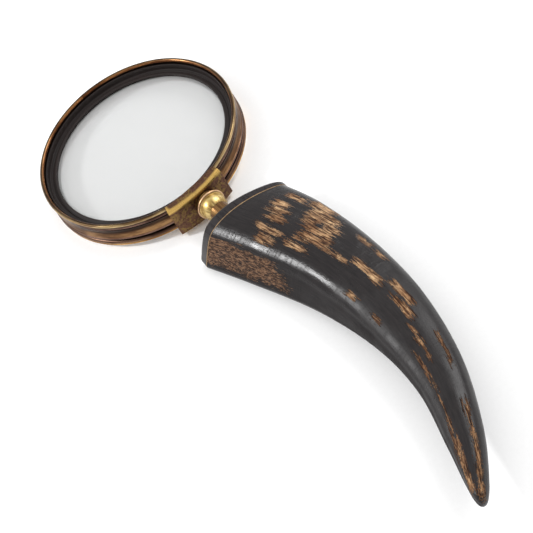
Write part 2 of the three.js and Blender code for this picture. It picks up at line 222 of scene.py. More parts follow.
def add_mesh(name, points, faces, sharp_deg=35, **fields):
    """A smooth-shaded object from drawn points in millimetres, with fields kept per point."""
    mesh = bpy.data.meshes.new(name)
    mesh.from_pydata((np.asarray(points, float) * MM).tolist(), [], faces)
    for field, values in fields.items():
        store(mesh, field, values)
    tidy = bmesh.new()
    tidy.from_mesh(mesh)
    bmesh.ops.remove_doubles(tidy, verts=tidy.verts, dist=1e-7)
    bmesh.ops.recalc_face_normals(tidy, faces=tidy.faces)
    tidy.to_mesh(mesh)
    tidy.free()
    obj = bpy.data.objects.new(name, mesh)
    SCENE.collection.objects.link(obj)
    smooth(obj, sharp_deg)
    return obj


def store(mesh, name, values):
    """Writes a number or vector per vertex."""
    values = np.asarray(values, np.float32)
    kind, field = ("FLOAT", "value") if values.ndim == 1 else ("FLOAT_VECTOR", "vector")
    made = mesh.attributes.new(name, kind, "POINT")
    made.data.foreach_set(field, values.ravel())


def smooth(obj, sharp_deg):
    obj.data.shade_smooth()
    obj.data.set_sharp_from_angle(angle=math.radians(sharp_deg))


def apply_modifiers(obj):
    graph = bpy.context.evaluated_depsgraph_get()
    applied = bpy.data.meshes.new_from_object(obj.evaluated_get(graph))
    obj.modifiers.clear()
    obj.data = applied
    obj.data.name = obj.name


def keep_drawn(obj):
    """Stores where each vertex was drawn, then lays the mesh down in the row frame."""
    mesh = obj.data
    places = np.zeros(len(mesh.vertices) * 3, np.float32)
    mesh.vertices.foreach_get("co", places)
    store(mesh, "drawn", places.reshape(-1, 3))
    mesh.transform(RING_TO_ROW)


def finish_piece(obj, material, body, slot, *nodes):
    """Lays a piece down, gives it its material and says what it is part of."""
    keep_drawn(obj)
    obj.data.materials.clear()
    obj.data.materials.append(material)
    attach(obj, body)
    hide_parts(*nodes)
    return obj


def grid_faces(rows, cols, closed=True):
    """Quads of a grid whose columns wrap round. closed joins the last row to the first."""
    faces = []
    for i in range(rows if closed else rows - 1):
        low, high = i * cols, ((i + 1) % rows) * cols
        for j in range(cols):
            k = (j + 1) % cols
            faces.append((low + j, low + k, high + k, high + j))
    return faces


def arc(centre_a, centre_b, radius, from_deg, to_deg, steps):
    turns = np.radians(np.linspace(from_deg, to_deg, steps + 1))
    return [(centre_a + radius * math.cos(t), centre_b + radius * math.sin(t)) for t in turns]


def rounded(outline, steps=4):
    """A closed outline with rounded corners. A point's third number is its corner's size."""
    points = []
    for i, corner in enumerate(outline):
        here = np.array(corner[:2], float)
        size = corner[2] if len(corner) > 2 else 0
        if size == 0:
            points.append(tuple(here))
            continue
        before = np.array(outline[i - 1][:2], float) - here
        after = np.array(outline[(i + 1) % len(outline)][:2], float) - here
        reach = [min(size, 0.45 * np.linalg.norm(side)) for side in (before, after)]
        start = here + before / np.linalg.norm(before) * reach[0]
        end = here + after / np.linalg.norm(after) * reach[1]
        for t in np.linspace(0, 1, steps + 1):
            point = (1 - t) ** 2 * start + 2 * t * (1 - t) * here + t ** 2 * end
            points.append(tuple(point))
    return points


def wobble(x, y, z, scale, amount):
    """Slow unevenness of a hand-made piece."""
    return amount * noise.noise(Vector((x, y, z)) * scale)


def ring_z(name, outline, steps=RING_STEPS, unevenness=0.05, closed=True):
    """A ring about the lens axis from an outline of (radius, height) points."""
    points = []
    for radius, z in outline:
        for turn in np.linspace(0, 2 * math.pi, steps, endpoint=False):
            x, y = math.cos(turn), math.sin(turn)
            out = radius + wobble(x, y, z * 0.1, 2.2, unevenness)
            lift = wobble(x + 7, y, z * 0.1, 2.2, unevenness)
            points.append((out * x, out * y, z + lift * (radius > 0)))
    return add_mesh(name, points, grid_faces(len(outline), steps, closed))


def ring_x(name, outline, steps=TURNED_STEPS, closed=True):
    """A turned piece about X from an outline of (x, radius) points."""
    points = []
    for x, radius in outline:
        for turn in np.linspace(0, 2 * math.pi, steps, endpoint=False):
            points.append((x, radius * math.cos(turn), radius * math.sin(turn)))
    return add_mesh(name, points, grid_faces(len(outline), steps, closed))


# ---- lens and frame ----

def lens_z(radius):
    return LENS_EDGE / 2 + LENS_SAG * (1 - (radius / LENS_R) ** 2)


def lens_mesh():
    radii = np.linspace(0, LENS_R, LENS_RINGS)
    face = [(r, lens_z(r)) for r in radii]
    back = [(r, -z) for r, z in face[::-1]]
    return ring_z("lens_glass", face + back, LENS_STEPS, unevenness=0, closed=False)


def retainer_mesh():
    lens_top = lens_z(APERTURE_R)
    outline = rounded([
        (APERTURE_R, lens_top + 0.3, 0.1),
        (LENS_R, 1.1),
        (MOUNT_OUTER_R, 1.1, 0.1),
        (MOUNT_OUTER_R, 5.3, 0.2),
        (47.8, 5.3, 0.2),
        (47.5, 4.3, 0.3),
        (47.35, 2.6, 0.4),
        (46.2, 2.5, 0.1),
        (46.0, 2.2, 0.1),
        (45.8, 2.5, 0.1),
        (44.9, 2.6, 0.2),
        (44.6, 2.9, 0.25),
        (APERTURE_R, 2.9, 0.35),
    ])
    return ring_z("lens_retainer_ring", outline, unevenness=0.02)


def seat_mesh():
    outline = rounded([
        (MOUNT_OUTER_R, -6.9, 0.2),
        (MOUNT_OUTER_R, 0.8, 0.1),
        (46.3, 0.8),
        (46.3, -2.2),
        (LEDGE_R, -2.2, 0.15),
        (LEDGE_R, -3.6, 0.3),
        (47.4, -4.4, 0.5),
        (47.7, -6.9, 0.2),
    ])
    return ring_z("lens_seat_sleeve", outline, unevenness=0.02)


def front_bezel_mesh():
    outline = [
        (RIM_INNER_R, 3.2),
        (49.6, 3.2),
        *arc(49.3, 4.2, 0.85, -50, 58, 8),
        *arc(49.45, 5.3, 0.2, -120, -240, 3),
        *arc(49.75, 6.55, 0.95, -48, 180, 18),
    ]
    return ring_z("front_bezel_ring", outline)


def band_mesh():
    outline = rounded([
        (RIM_INNER_R, -3.15),
        (50.2, -3.15, 0.15),
        (50.65, -2.9, 0.3),
        (50.6, -2.2, 0.3),
        (50.2, -1.95, 0.25),
        (50.15, -1.2, 0.5),
        (49.75, 0.1, 0.6),
        (49.5, 1.1, 0.6),
        (49.5, 2.2, 0.4),
        (49.8, 2.95, 0.1),
        (RIM_INNER_R, 2.95),
    ])
    return ring_z("frame_band_ring", outline)


def back_bezel_mesh():
    outline = [
        (RIM_INNER_R, -RIM_TOP),
        (50.3, -RIM_TOP),
        *arc(50.15, -7.1, 0.4, -80, 40, 5),
        (50.2, -6.5),
        *arc(49.75, -5.55, 1.0, -55, 70, 10),
        (49.5, -4.4),
        (COVE_R, -3.4),
        (RIM_INNER_R, -3.4),
    ]
    return ring_z("back_bezel_ring", outline)


# ---- saddle ----

def lip_radius(turn):
    """Where the lip's inner edge is along a ray from the lens centre."""
    centre = LIP_EDGE_X - LIP_EDGE_R
    across = centre * math.sin(turn)
    return centre * math.cos(turn) + math.sqrt(LIP_EDGE_R ** 2 - across ** 2)


def saddle_section(turn):
    """Outline of radius and height: a back, with a lip over the rim above and below."""
    lip = lip_radius(turn)
    under = SADDLE_TOP - SADDLE_LIP
    return rounded([
        (lip, -SADDLE_TOP, 0.3),
        (SADDLE_OUTER_R, -SADDLE_TOP, 0.7),
        (SADDLE_OUTER_R, SADDLE_TOP, 2.6),
        (lip, SADDLE_TOP, 0.35),
        (lip, under, 0.2),
        (SADDLE_INNER_R, under, 0.2),
        (SADDLE_INNER_R, -under, 0.2),
        (lip, -under, 0.2),
    ], 6)


def stud_bore():
    """The hole through the saddle's back, wider inside to take the stud's head."""
    return ring_x("bore", [
        (BORE_FROM_X, 0), (BORE_FROM_X, HEAD_ROOM_R), (HEAD_ROOM_X, HEAD_ROOM_R),
        (HEAD_ROOM_X, HOLE_R), (BORE_TO_X, HOLE_R), (BORE_TO_X, 0),
    ], BORE_STEPS, closed=False)


def saddle_mesh():
    angles = np.radians(np.linspace(SADDLE_FROM_DEG, SADDLE_TO_DEG, SADDLE_STEPS))
    points = []
    for angle in angles:
        for radius, z in saddle_section(angle):
            out = radius + wobble(radius, angle * 50, z, 0.08, 0.12)
            points.append((out * math.cos(angle), out * math.sin(angle), z))
    count = len(saddle_section(0))
    faces = grid_faces(SADDLE_STEPS, count, closed=False)
    faces.append(tuple(range(count)))
    faces.append(tuple((SADDLE_STEPS - 1) * count + j for j in range(count)))
    obj = add_mesh("saddle_brass", points, faces)
    bore = stud_bore()
    hole = obj.modifiers.new("hole", "BOOLEAN")
    hole.operation = "DIFFERENCE"
    hole.object = bore
    bevel = obj.modifiers.new("edges", "BEVEL")
    bevel.width = SADDLE_BEVEL * MM
    bevel.segments = 3
    bevel.limit_method = "ANGLE"
    bevel.angle_limit = math.radians(50)
    apply_modifiers(obj)
    bpy.data.objects.remove(bore)
    smooth(obj, 40)
    return obj


# ---- swivel ----

def collar_mesh():
    outline = rounded([
        (COLLAR_X, HOLE_R),
        (COLLAR_X, 6.6, 0.1),
        (COLLAR_X + 0.15, FLANGE_R, 0.35),
        (COLLAR_X + 1.05, FLANGE_R, 0.35),
        (COLLAR_X + 1.3, 6.5, 0.15),
    ]) + arc(BALL_X, 0, BALL_R, 104, 51.5, 22) + [(COLLAR_END, 4.84), (COLLAR_END, HOLE_R)]
    return ring_x("ball_collar_brass", outline)


def neck_mesh():
    """A waisted neck whose far end is cut along the plate's slanted face."""
    face_slope = (BASE_ACROSS[0] / BASE_ACROSS[1]) + 2 * PLATE_THICK * PLATE_WEDGE / BASE_WIDTH
    face = BASE_MIDDLE + BASE_OUT * (PLATE_FROM + PLATE_THICK + LINER_FROM)
    outline = [
        (NECK_START, HOLE_R), (NECK_START, 4.86), (65.2, 4.76), (66.5, 4.66), (68.2, 4.62),
        (70, 4.7), (71.3, 4.9), (72.3, 5.2), (73, 5.5), (0, 5.6), (0, HOLE_R),
    ]
    points = []
    for x, radius in outline:
        for turn in 2 * math.pi * turns(NECK_STEPS):
            y, z = radius * math.cos(turn), radius * math.sin(turn)
            end = face[0] + (y - face[1]) * face_slope
            points.append((x if x > 0 else end, y, z))
    return add_mesh("neck_brass", points, grid_faces(len(outline), NECK_STEPS))


# ---- horn ----

def catmull_rom(p0, p1, p2, p3, w):
    """Curve from p1 to p2 for w from 0 to 1, with p0 before it and p3 after it."""
    v0, v1 = (p2 - p0) / 2, (p3 - p1) / 2
    cubic = 2 * p1 - 2 * p2 + v0 + v1
    square = 3 * p2 - 3 * p1 - 2 * v0 - v1
    return cubic * w ** 3 + square * w ** 2 + v0 * w + p1


def spline(points, t):
    """Curve through points, for an array of t from 0 to 1."""
    points = np.array(points, float)
    if points.ndim == 1:
        points = points[:, None]
    last = len(points) - 1
    place = np.clip(t, 0, 1) * last
    i = np.minimum(np.floor(place).astype(int), last - 1)
    before, after = points[np.maximum(i - 1, 0)], points[np.minimum(i + 2, last)]
    return catmull_rom(before, points[i], points[i + 1], after, (place - i)[:, None])


def smooth_step(value, low, high):
    share = np.clip((value - low) / (high - low), 0, 1)
    return share * share * (3 - 2 * share)


BASE_NEAR, BASE_FAR = np.array(HORN_NEAR[0]), np.array(HORN_FAR[0])
BASE_WIDTH = np.linalg.norm(BASE_FAR - BASE_NEAR)
BASE_ACROSS = (BASE_FAR - BASE_NEAR) / BASE_WIDTH
BASE_OUT = np.array((-BASE_ACROSS[1], BASE_ACROSS[0]))
BASE_MIDDLE = (BASE_NEAR + BASE_FAR) / 2


def base_plane_x(y):
    """Where the joint's slanted plane is, for a place across."""
    return BASE_NEAR[0] + (y - BASE_NEAR[1]) * BASE_ACROSS[0] / BASE_ACROSS[1]


def section_places(along, turn):
    """Places on the section, as fractions across and up. turn runs from 0 to 1 round it."""
    corners = np.array(HORN_SECTION)
    bearing = corners / np.linalg.norm(corners, axis=1)[:, None]
    reach = (np.abs(bearing) ** OVAL_SQUARENESS).sum(axis=1) ** (-1 / OVAL_SQUARENESS)
    oval = bearing * reach[:, None]
    share = smooth_step(along, SECTION_UNTIL, OVAL_FROM)[:, None]
    place = turn * len(corners)
    i = np.floor(place).astype(int)
    near_by = []
    for step in (-1, 0, 1, 2):
        k = (i + step) % len(corners)
        near_by.append(corners[k] * (1 - share) + oval[k] * share)
    return catmull_rom(*near_by, (place - i)[:, None])


def horn_points(along, share, turn):
    """Points of the horn, and their places along, across and up in the straightened horn.

    along runs from 0 at the joint to 1 at the tip, share from 0 at the middle to 1 at the
    skin, turn from 0 to 1 round the section.
    """
    near, far = spline(HORN_NEAR, along), spline(HORN_FAR, along)
    width = np.linalg.norm(far - near, axis=1)
    across = (far - near) / width[:, None]
    past = np.clip((along - HORN_NOSE) / (1 - HORN_NOSE), 0, 1)
    scale = share * np.sqrt(1 - past ** 2)
    section = section_places(along, turn)
    sideways = section[:, 0] * width / 2 * scale
    up = section[:, 1] * spline(HORN_HALF_THICK, along)[:, 0] * scale
    plan = (near + far) / 2 + across * sideways[:, None]
    return np.column_stack((plan, up)), np.column_stack((along_to_mm(along), sideways, up))


# Length of the horn's middle line up to each of many places along it
ALONG_TABLE = np.linspace(0, 1, 2001)
MIDDLE_LINE = (spline(HORN_NEAR, ALONG_TABLE) + spline(HORN_FAR, ALONG_TABLE)) / 2
MIDDLE_MM = np.concatenate(([0], np.cumsum(np.linalg.norm(np.diff(MIDDLE_LINE, axis=0), axis=1))))


def along_to_mm(along):
    return np.interp(along, ALONG_TABLE, MIDDLE_MM)


def turns(count):
    """Even turns from 0 up to 1, without 1 itself."""
    return np.linspace(0, 1, count, endpoint=False)


def worn_patch_distance(straight, half_width):
    """Distance to the nearest worn patch on top, less than nothing inside it."""
    along, sideways = straight[:, 0], straight[:, 1]
    nearest = np.full(len(straight), OUT_OF_REACH)
    for start, end, place, patch_half in WORN_PATCHES:
        beside = np.abs(sideways - place * half_width) - patch_half
        beyond = np.maximum(start - along, along - end) * END_FRAY
        outside = np.hypot(np.maximum(beside, 0), np.maximum(beyond, 0))
        nearest = np.minimum(nearest, outside + np.minimum(np.maximum(beside, beyond), 0))
    return nearest


def side_patch_distance(straight, corner):
    """Distance to the edge of the rough patch on the near side, less than nothing inside."""
    along = straight[:, 0]
    corner_mm = HORN_GIRTH / len(HORN_SECTION)
    shoulder = (SHOULDER_CORNER - corner) * corner_mm
    edge = (corner - NEAR_EDGE_CORNER) * corner_mm
    low_down = np.clip(-shoulder, 0, SIDE_PATCH_HEIGHT)
    end = along - SIDE_PATCH_LENGTH - SIDE_PATCH_SLANT * low_down
    sides = np.maximum(shoulder + SIDE_PATCH_FALL * along, edge)
    return np.maximum(sides, end * SIDE_END_FRAY)


def horn_grid():
    """Share, along and turn of each point: out of the hollow, over the joint and to the tip."""
    body = np.linspace(0, HORN_NOSE, HORN_STATIONS)
    nose = HORN_NOSE + (1 - HORN_NOSE) * np.sin(np.linspace(0, math.pi / 2, NOSE_STEPS)[1:])
    skin = [(1, s) for s in np.concatenate((body, nose))]
    hollow = [(WALL_SHARE, s) for s in np.linspace(0, HOLLOW_END, HOLLOW_ALONG)]
    profile = np.array([(0, HOLLOW_END)] + hollow[::-1] + skin)
    share, along = np.repeat(profile, HORN_AROUND, axis=0).T
    return len(profile), share, along, np.tile(turns(HORN_AROUND), len(profile))


def sink(points, middle, depth):
    """Moves points towards the middle line."""
    inward = np.column_stack((middle, np.zeros(len(middle)))) - points
    length = np.maximum(np.linalg.norm(inward, axis=1), 1e-6)
    return points + inward / length[:, None] * depth[:, None]


def horn_mesh():
    """The horn's skin and hollow, with its worn places sunk and kept as fields."""
    rows, share, along, turn = horn_grid()
    points, straight = horn_points(along, share, turn)
    near, far = spline(HORN_NEAR, along), spline(HORN_FAR, along)
    half_width = np.linalg.norm(far - near, axis=1) / 2
    corner = turn * len(HORN_SECTION)
    top = np.where(points[:, 2] > 0, worn_patch_distance(straight, half_width), OUT_OF_REACH)
    side = side_patch_distance(straight, corner)
    dull = smooth_step(corner, *MATT_FROM_CORNERS) * (1 - smooth_step(corner, *MATT_TO_CORNERS))
    sunk = HORN_SINK * np.maximum(smooth_step(-top, -0.2, 0.8), smooth_step(-side, -0.3, 1.5))
    grain = np.array([noise.noise(Vector(place)) for place in straight * SINK_GRAIN])
    depth = sunk * (1 + SINK_UNEVENNESS * grain) * (share == 1)
    points = sink(points, (near + far) / 2, depth)
    return add_mesh("horn_handle", points, grid_faces(rows, HORN_AROUND, closed=False), 50,
                    straight=straight * MM, worn=top, side_worn=side, dull=dull)


def base_slab(name, low, thick, round_size, wedge=0):
    """A flat piece of the joint's section, thicker by the wedge's fraction on its near side."""
    half_thick = HORN_HALF_THICK[0]
    outline = [(0, 0), (1, 0)]
    for corner in np.linspace(0, math.pi / 2, 10):
        inward = round_size * (1 - math.cos(corner)) / half_thick
        outline.append((1 - inward, thick - round_size * (1 - math.sin(corner))))
    outline.append((0, thick))
    turn = turns(HORN_AROUND)
    zero = np.zeros(HORN_AROUND)
    skin, _ = horn_points(zero, zero + 1, turn)
    hole_y = PLATE_HOLE_R * np.cos(2 * math.pi * turn)
    hole_z = PLATE_HOLE_R * np.sin(2 * math.pi * turn)
    hole = np.column_stack((base_plane_x(hole_y), hole_y, hole_z))
    rows = []
    for share, depth in outline:
        row = hole * (1 - share) + skin * share
        across = (row[:, 1] - BASE_MIDDLE[1]) / (BASE_WIDTH / 2)
        out = low + depth * (1 - wedge * across)
        row[:, :2] += BASE_OUT * out[:, None]
        rows.append(row)
    return add_mesh(name, np.concatenate(rows), grid_faces(len(outline), HORN_AROUND), 50)


# ---- materials ----

# Colours are linear. A ramp's rows hold a place from 0 to 1 and the colour there.
BLACK_HORN = ((0.32, (0.009, 0.0075, 0.008)), (0.7, (0.019, 0.0155, 0.0155)))
BARE_FIBRE = (
    (0.38, (0.07, 0.035, 0.020)), (0.45, (0.24, 0.135, 0.07)),
    (0.53, (0.41, 0.25, 0.13)), (0.62, (0.66, 0.44, 0.24)),
)
SIDE_BROWN = (
    (0.41, (0.008, 0.005, 0.004)), (0.47, (0.035, 0.018, 0.011)),
    (0.52, (0.10, 0.05, 0.028)), (0.59, (0.26, 0.145, 0.08)), (0.68, (0.09, 0.048, 0.028)),
)

# Rim colours from its foot up to the top bead, with painted shade in the grooves and the cove and a
# painted highlight along the foot, and the bead's from its inner side outwards, with a painted
# highlight on its outer edge
RIM_BANDS_PAINTED_SHADE_AND_HIGHLIGHT = (
    (0.055, (0.95, 0.56, 0.19)), (0.095, (0.30, 0.15, 0.06)), (0.12, (0.30, 0.18, 0.10)),
    (0.19, (0.13, 0.07, 0.045)), (0.225, (0.018, 0.011, 0.008)), (0.285, (0.022, 0.013, 0.009)),
    (0.31, (0.27, 0.16, 0.12)), (0.36, (0.20, 0.115, 0.085)), (0.385, (0.30, 0.165, 0.07)),
    (0.50, (0.23, 0.125, 0.055)), (0.56, (0.065, 0.033, 0.016)), (0.68, (0.05, 0.025, 0.014)),
    (0.73, (0.23, 0.135, 0.10)), (0.80, (0.17, 0.10, 0.075)), (0.835, (0.018, 0.011, 0.008)),
    (0.875, (0.026, 0.016, 0.01)),
)
BEAD_COLOURS_PAINTED_HIGHLIGHT = (
    (0.02, (0.34, 0.14, 0.05)), (0.20, (0.24, 0.12, 0.05)), (0.36, (0.085, 0.055, 0.028)),
    (0.62, (0.11, 0.075, 0.038)), (0.80, (0.28, 0.19, 0.085)), (0.94, (0.55, 0.40, 0.20)),
)
SADDLE_MOTTLE = (
    (0.32, (0.055, 0.026, 0.018)), (0.42, (0.15, 0.08, 0.04)), (0.49, (0.10, 0.042, 0.034)),
    (0.56, (0.25, 0.16, 0.05)), (0.63, (0.14, 0.065, 0.04)), (0.72, (0.45, 0.30, 0.09)),
)
BALL_TONES = (
    (0.30, (0.16, 0.09, 0.035)), (0.40, (0.46, 0.31, 0.10)),
    (0.52, (0.62, 0.46, 0.18)), (0.66, (0.72, 0.56, 0.26)),
)
NECK_TONES = (
    (0.36, (0.045, 0.022, 0.010)), (0.48, (0.16, 0.08, 0.032)), (0.66, (0.34, 0.20, 0.075)),
)
LACQUER_TONES = ((0.3, (0.0065, 0.004, 0.0035)), (0.7, (0.016, 0.009, 0.0075)))
LACQUER_DUST = (0.08, 0.055, 0.045)
GLASS_TONES = ((0.35, (0.57, 0.57, 0.57)), (0.7, (0.55, 0.55, 0.55)))
GLASS_FILM = (0.68, 0.68, 0.675)
GLASS_FILM_SHARE = 0.3
GLASS_LIGHT_PASSED = (0.93, 0.94, 0.94)
FLOOR_PAPER = ((0.3, (0.94, 0.94, 0.94)), (0.7, (0.96, 0.96, 0.96)))


class Paint:
    """Short way to write a node material."""

    def __init__(self, name):
        self.material = bpy.data.materials.new(name)
        self.material.use_nodes = True
        self.tree = self.material.node_tree
        self.shader = self.tree.nodes["Principled BSDF"]
        self.output = self.tree.nodes["Material Output"]

    def add(self, kind, inputs=None, **settings):
        made = self.tree.nodes.new("ShaderNode" + kind)
        for key, value in settings.items():
            setattr(made, key, value)
        for key, value in (inputs or {}).items():
            self.put(made.inputs[key], value)
        return made

    def put(self, socket, value):
        if isinstance(value, bpy.types.NodeSocket):
            self.tree.links.new(value, socket)
        elif isinstance(value, tuple) and socket.type == "RGBA" and len(value) == 3:
            socket.default_value = (*value, 1)
        else:
            socket.default_value = value

    def place(self, name="drawn"):
        """A stored vector, in metres."""
        return self.add("Attribute", attribute_name=name).outputs["Vector"]

    def field(self, name):
        """A stored number."""
        return self.add("Attribute", attribute_name=name).outputs["Fac"]

    def stretch(self, vector, scale):
        return self.add("Mapping", {"Vector": vector, "Scale": scale}).outputs["Vector"]

    def noise(self, vector, scale, detail=4, roughness=0.55, distortion=0):
        return self.add("TexNoise", {
            "Vector": vector, "Scale": scale, "Detail": detail,
            "Roughness": roughness, "Distortion": distortion,
        }).outputs["Fac"]

    def math(self, operation, a, b=0, c=0):
        return self.add("Math", {0: a, 1: b, 2: c}, operation=operation).outputs[0]

    def plus(self, a, b):
        return self.math("ADD", a, b)

    def times(self, a, b):
        return self.math("MULTIPLY", a, b)

    def centred(self, value, amount):
        """A noise made to swing about nothing."""
        return self.times(self.math("SUBTRACT", value, 0.5), amount)

    def span(self, value, low, high, to_low=0, to_high=1):
        """Smooth step of a value between two limits."""
        return self.add("MapRange", {
            "Value": value, "From Min": low, "From Max": high, "To Min": to_low, "To Max": to_high,
        }, interpolation_type="SMOOTHSTEP").outputs["Result"]

    def ramp(self, value, *stops):
        made = self.add("ValToRGB", {"Fac": value})
        elements = made.color_ramp.elements
        while len(elements) < len(stops):
            elements.new(0.5)
        for element, (position, colour) in zip(elements, stops):
            element.position = position
            element.color = (*colour, 1)
        return made.outputs["Color"]

    def mix(self, factor, a, b, blend="MIX"):
        made = self.add("Mix", data_type="RGBA", blend_type=blend)
        self.put(made.inputs["Factor"], factor)
        self.put(made.inputs["A"], a)
        self.put(made.inputs["B"], b)
        return made.outputs["Result"]

    def split(self, vector):
        made = self.add("SeparateXYZ", {"Vector": vector})
        return made.outputs["X"], made.outputs["Y"], made.outputs["Z"]

    def join(self, x, y, z):
        return self.add("CombineXYZ", {"X": x, "Y": y, "Z": z}).outputs["Vector"]

    def bump(self, height, strength, depth_mm, normal=None):
        made = self.add("Bump", {"Height": height, "Strength": strength, "Distance": depth_mm * MM})
        if normal is not None:
            self.put(made.inputs["Normal"], normal)
        return made.outputs["Normal"]

    def surface(self, **inputs):
        for key, value in inputs.items():
            label = key.replace("_", " ").title().replace("Ior", "IOR")
            self.put(self.shader.inputs[label], value)
        return self.material

    def round_place(self):
        """Turn about the lens axis times the rim's radius, height, and radius, in metres."""
        x, y, z = self.split(self.place())
        round_the_rim = self.times(self.math("ARCTAN2", y, x), RIM_OUTER_R * MM)
        radius = self.math("SQRT", self.plus(self.times(x, x), self.times(y, y)))
        return self.join(round_the_rim, z, radius), z, radius

    def lengthwise(self, around, along):
        """A place on a piece turned about X, stretched by a scale round it and one along it."""
        x, y, z = self.split(self.place())
        turn = self.math("ARCTAN2", z, y)
        return self.join(self.times(turn, around), self.times(x, along), 0)


def frame_brass(name):
    """Aged brass of the rim: a colour for each moulding, with painted shade in the grooves and the
    cove, painted highlights along the foot and on the top bead's outer edge, and streaks round the
    rim.
    """
    paint = Paint(name)
    around, z, radius = paint.round_place()
    streak = paint.noise(paint.stretch(around, (85, 2200, 500)), 1, 6, 0.68)
    blotch = paint.noise(paint.stretch(around, (55, 300, 200)), 1, 5, 0.62)
    shift = paint.centred(streak, 0.05)
    height = paint.times(paint.plus(z, 8 * MM), 1 / (16 * MM))
    # painted shade: the grooves and the cove are near black; painted highlight: the foot is bright
    # orange
    bands_painted_shade_and_highlight = paint.ramp(paint.plus(height, shift), *RIM_BANDS_PAINTED_SHADE_AND_HIGHLIGHT)
    out = paint.times(paint.math("SUBTRACT", radius, RIM_INNER_R * MM), 1 / (2 * MM))
    # painted highlight: the top bead is lighter towards its outer edge
    bead = paint.ramp(paint.plus(out, shift), *BEAD_COLOURS_PAINTED_HIGHLIGHT)
    plain = paint.mix(paint.span(z, 6.0 * MM, 6.5 * MM), bands_painted_shade_and_highlight, bead)
    dark = paint.mix(1, plain, (0.42, 0.36, 0.34), "MULTIPLY")
    aged = paint.mix(paint.span(blotch, 0.40, 0.58), plain, dark)
    gilt = paint.mix(1, aged, (1.7, 1.5, 1.1), "MULTIPLY")
    rubbed = paint.mix(paint.span(streak, 0.56, 0.70, 0, 0.8), aged, gilt)
    grime = paint.mix(1, rubbed, (0.34, 0.29, 0.28), "MULTIPLY")
    streaked = paint.mix(paint.span(streak, 0.34, 0.48, 0.85, 0), rubbed, grime)
    rough = paint.span(blotch, 0.35, 0.7, 0.27, 0.42)
    normal = paint.bump(streak, 0.3, 0.06)
    return paint.surface(base_color=streaked, metallic=0.9, roughness=rough, normal=normal)


def saddle_brass(name):
    """Mottled patina, rubbed bright along the fold and the lip's end, partly worn brass and partly a
    painted highlight, with a painted highlight along the bottom edge.
    """
    paint = Paint(name)
    place = paint.place()
    around, z, radius = paint.round_place()
    _, y, _ = paint.split(place)
    warp = paint.noise(place, 260, 3, 0.6)
    blotch = paint.noise(place, 190, 8, 0.72, 0.7)
    fine = paint.noise(paint.stretch(around, (900, 600, 900)), 1, 5, 0.7)
    mottled = paint.ramp(blotch, *SADDLE_MOTTLE)
    freckled = paint.mix(paint.span(fine, 0.47, 0.66, 0, 0.85), mottled, (0.045, 0.022, 0.014))

    # the fold and the lip's end: worn brass and also a painted highlight
    on_top = paint.span(z, 5.9 * MM, 7.6 * MM)
    fold = paint.times(on_top, paint.span(radius, 52.4 * MM, 53.7 * MM))
    lip_end = paint.times(on_top, paint.span(y, -15.0 * MM, -16.6 * MM))
    rubbed = paint.math("MAXIMUM", fold, lip_end)
    worn_and_painted_highlight = paint.times(rubbed, paint.span(warp, 0.3, 0.5, 0.6, 1))
    gilded_painted_highlight = paint.mix(worn_and_painted_highlight, freckled, (0.64, 0.41, 0.12))
    # painted highlight: a bright orange line along the saddle's bottom edge
    foot = paint.mix(paint.span(z, -7.9 * MM, -8.3 * MM), gilded_painted_highlight, (0.55, 0.33, 0.10))

    patina = paint.span(blotch, 0.35, 0.7, 0.34, 0.48)
    rough = paint.math("SUBTRACT", patina, paint.times(worn_and_painted_highlight, 0.14))
    normal = paint.bump(fine, 0.35, 0.08)
    return paint.surface(base_color=foot, metallic=0.92, roughness=rough, normal=normal)


def bright_brass(name):
    """Satin ball, brushed towards the neck, with a pinkish flange."""
    paint = Paint(name)
    place = paint.place()
    x, _, _ = paint.split(place)
    brushed = paint.noise(paint.lengthwise(24, 120), 1, 4, 0.6)
    smudge = paint.noise(place, 300, 6, 0.65, 0.6)
    polished = paint.ramp(smudge, *BALL_TONES)
    flange = paint.span(x, (COLLAR_X + 1.4) * MM, (COLLAR_X + 1.1) * MM)
    tinted = paint.mix(flange, polished, (0.62, 0.40, 0.23))
    neckward = paint.span(x, 60.5 * MM, 63.8 * MM)
    lines = paint.times(neckward, paint.span(brushed, 0.40, 0.62))
    coloured = paint.mix(lines, tinted, (0.20, 0.11, 0.04))
    rough = paint.span(smudge, 0.3, 0.7, 0.44, 0.34)
    normal = paint.bump(brushed, 0.2, 0.04)
    return paint.surface(base_color=coloured, metallic=1.0, roughness=rough, normal=normal)


def neck_brass(name):
    """Brown brass with streaks along the neck."""
    paint = Paint(name)
    streak = paint.noise(paint.lengthwise(14, 130), 1, 5, 0.65)
    brown = paint.ramp(streak, *NECK_TONES)
    rough = paint.span(streak, 0.3, 0.7, 0.42, 0.3)
    normal = paint.bump(streak, 0.2, 0.04)
    return paint.surface(base_color=brown, metallic=0.95, roughness=rough, normal=normal)


def lacquer(name):
    """Dull reddish black of the turned mount, with a little dust."""
    paint = Paint(name)
    around, _, _ = paint.round_place()
    turned = paint.noise(paint.stretch(around, (60, 2600, 2600)), 1, 5, 0.6)
    dust = paint.noise(paint.place(), 900, 4, 0.7)
    black = paint.ramp(turned, *LACQUER_TONES)
    dusty = paint.mix(paint.span(dust, 0.64, 0.82, 0, 0.35), black, LACQUER_DUST)
    rough = paint.span(turned, 0.3, 0.7, 0.55, 0.72)
    normal = paint.bump(turned, 0.2, 0.03)
    return paint.surface(base_color=dusty, roughness=rough, specular_ior_level=0.32, normal=normal)


